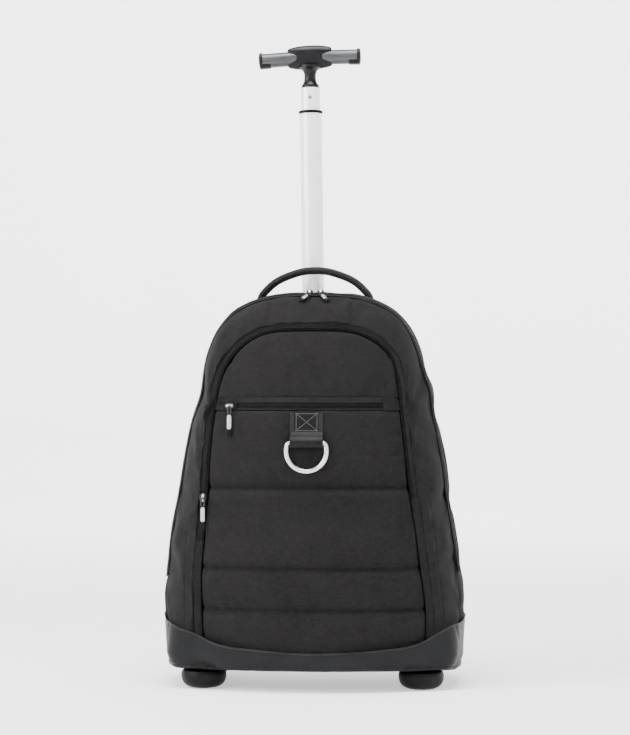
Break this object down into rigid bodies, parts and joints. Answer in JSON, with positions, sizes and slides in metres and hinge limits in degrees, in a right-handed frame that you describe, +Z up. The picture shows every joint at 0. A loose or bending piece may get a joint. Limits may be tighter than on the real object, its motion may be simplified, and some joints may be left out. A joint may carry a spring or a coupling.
{
  "type": "wheeled backpack",
  "caption": "Soft upright backpack with a quilted zipped front pocket, coated base, rear wheels, front feet and a telescopic T-handled pole, shown drawn out.",
  "frame": {"origin": "on the ground, under the middle of the whole object's box", "axes": "+Z up; the front with the quilted pocket faces -Y; +X is to the right of someone who looks at that front"},
  "size_m": [0.3594, 0.2307, 0.7749],
  "materials": {
    "body_fabric": "charcoal melange woven polyester, matt, lightly padded",
    "back_fabric": "black spacer mesh over foam",
    "coated_base": "smooth coated fabric with a soft sheen and a thin piping along its edge",
    "zip_tape": "black woven tape with a nylon coil",
    "webbing": "black ribbed webbing, stitched",
    "black_plastic": "moulded black plastic, fine grain",
    "handle_plastic": "moulded black plastic, satin gloss",
    "wheel_rubber": "black rubber tread",
    "pole_aluminium": "bright satin anodised aluminium",
    "grip_grey": "dark metallic grey, satin, with a groove along each grip",
    "small_steel": "plain steel",
    "zip_metal": "worn satin nickel",
    "ring_steel": "satin nickel plated steel wire"
  },
  "bodies": {
    "bag": {"main_shell": "body_fabric", "front_band": "body_fabric", "pocket_divider": "body_fabric", "pocket_lower": "body_fabric", "pocket_upper": "body_fabric", "placket_left": "body_fabric", "placket_right": "body_fabric", "back_panel": "back_fabric", "back_column_left": "back_fabric", "back_column_right": "back_fabric", "shoulder_strap_left": "back_fabric", "shoulder_strap_right": "back_fabric", "strap_webbing_left": "webbing", "strap_webbing_right": "webbing", "ladder_lock_left": "black_plastic", "ladder_lock_right": "black_plastic", "pocket_zip": "zip_tape", "arc_zip": "zip_tape", "main_zip": "zip_tape", "pocket_zip_slider": "zip_metal", "pocket_zip_pull": "zip_metal", "arc_zip_slider": "zip_metal", "arc_zip_pull": "zip_metal", "main_zip_left_slider": "zip_metal", "main_zip_left_pull": "zip_metal", "main_zip_right_slider": "zip_metal", "main_zip_right_pull": "zip_metal", "base_boot": "coated_base", "ring_patch": "webbing", "carry_handle": "webbing", "front_foot_left": "black_plastic", "front_foot_right": "black_plastic", "wheel_housing_left": "black_plastic", "wheel_housing_right": "black_plastic", "axle_left": "small_steel", "axle_right": "small_steel", "pole_port": "black_plastic", "outer_tube": "pole_aluminium"},
    "mid_stage": {"mid_tube": "pole_aluminium", "pole_collar": "black_plastic"},
    "handle_stage": {"inner_tube": "pole_aluminium", "pole_button": "small_steel", "handle_hub": "handle_plastic", "grip_left": "grip_grey", "grip_right": "grip_grey", "end_cap_left": "handle_plastic", "end_cap_right": "handle_plastic"},
    "wheel_left": {"tyre_left": "wheel_rubber", "wheel_hub_left": "black_plastic"},
    "wheel_right": {"tyre_right": "wheel_rubber", "wheel_hub_right": "black_plastic"},
    "ring": {"d_ring": "ring_steel"}
  },
  "joints": [
    {"name": "mid_tube_slide", "type": "slide", "parent": "bag", "child": "mid_stage", "axis": [-0.0148, 0, 0.9999], "range_m": [-0.22, 0]},
    {"name": "inner_tube_slide", "type": "slide", "parent": "mid_stage", "child": "handle_stage", "axis": [-0.0148, 0, 0.9999], "range_m": [-0.012, 0.18]},
    {"name": "wheel_left_spin", "type": "hinge", "parent": "bag", "child": "wheel_left", "pos_m": [-0.128, 0.05705, 0.032], "axis": [1, 0, 0], "continuous": true},
    {"name": "wheel_right_spin", "type": "hinge", "parent": "bag", "child": "wheel_right", "pos_m": [0.128, 0.05705, 0.032], "axis": [1, 0, 0], "continuous": true},
    {"name": "d_ring_swing", "type": "hinge", "parent": "bag", "child": "ring", "pos_m": [-0.003, -0.10915, 0.2883], "axis": [-1, 0, 0], "range_deg": [0, 150]}
  ]
}
